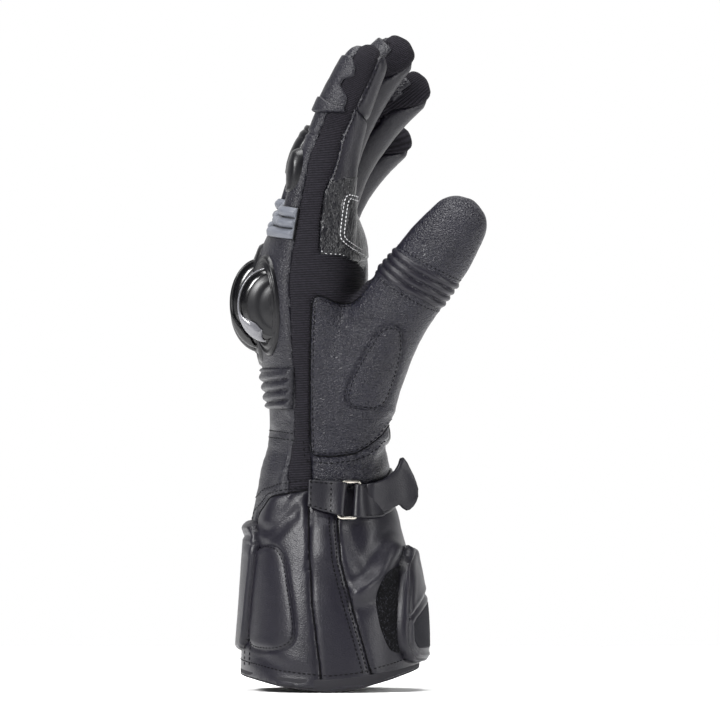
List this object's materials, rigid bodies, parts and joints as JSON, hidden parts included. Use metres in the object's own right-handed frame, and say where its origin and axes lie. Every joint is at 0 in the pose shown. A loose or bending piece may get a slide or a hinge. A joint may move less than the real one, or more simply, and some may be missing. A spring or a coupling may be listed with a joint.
{
  "type": "motorcycle gauntlet",
  "caption": "Left-hand motorcycle gauntlet in dark leather, as worn with open fingers, with a flared cuff, a buckled wrist strap, hard knuckle shells, ribs and stretch side panels.",
  "frame": {"origin": "middle of the cuff's mouth at the hem, where the hand goes in", "axes": "+Z from the hem to the fingertips, +X towards the thumb side, +Y towards the palm, -Y towards the back of the hand"},
  "size_m": [0.1189, 0.1167, 0.294],
  "materials": {
    "leather": "fine grain, soft sheen",
    "palm_leather": "fine grain, matte",
    "stretch_textile": "ribbed, matte",
    "grey_ribs": "matte",
    "hard_shell": "polished",
    "armour_rubber": "satin",
    "hook_fastener": "hooked pile, matte",
    "hem_tape": "woven, matte",
    "wire_metal": "satin"
  },
  "bodies": {
    "root": {"cuff_back_panel": "leather", "cuff_palm_panel": "leather", "hand_back_panel": "leather", "index_finger": "leather", "middle_finger": "leather", "ring_finger": "leather", "little_finger": "leather", "wrist_strap": "leather", "strap_anchor": "leather", "cuff_flap": "leather", "cuff_side_pad": "leather", "cuff_back_guard": "leather", "wrist_ribs": "leather", "thumb_ribs": "leather", "index_tip_guard": "leather", "middle_tip_guard": "leather", "ring_tip_guard": "leather", "little_tip_guard": "leather", "palm_panel": "palm_leather", "thumb_leather": "palm_leather", "thumb_base_pad": "palm_leather", "finger_base_reinforcement": "palm_leather", "thumb_side_stretch_panel": "stretch_textile", "outer_side_stretch_panel": "stretch_textile", "index_ribs": "grey_ribs", "middle_ribs": "grey_ribs", "ring_ribs": "grey_ribs", "little_ribs": "grey_ribs", "index_knuckle_shell": "hard_shell", "middle_knuckle_shell": "hard_shell", "ring_knuckle_shell": "hard_shell", "little_knuckle_shell": "hard_shell", "knuckle_base": "armour_rubber", "palm_heel_slider": "armour_rubber", "index_finger_slider": "armour_rubber", "middle_finger_slider": "armour_rubber", "ring_finger_slider": "armour_rubber", "little_finger_slider": "armour_rubber", "strap_end_tab": "armour_rubber", "hook_patch": "hook_fastener", "hem_tape": "hem_tape", "buckle_ring": "wire_metal"}
  },
  "joints": []
}
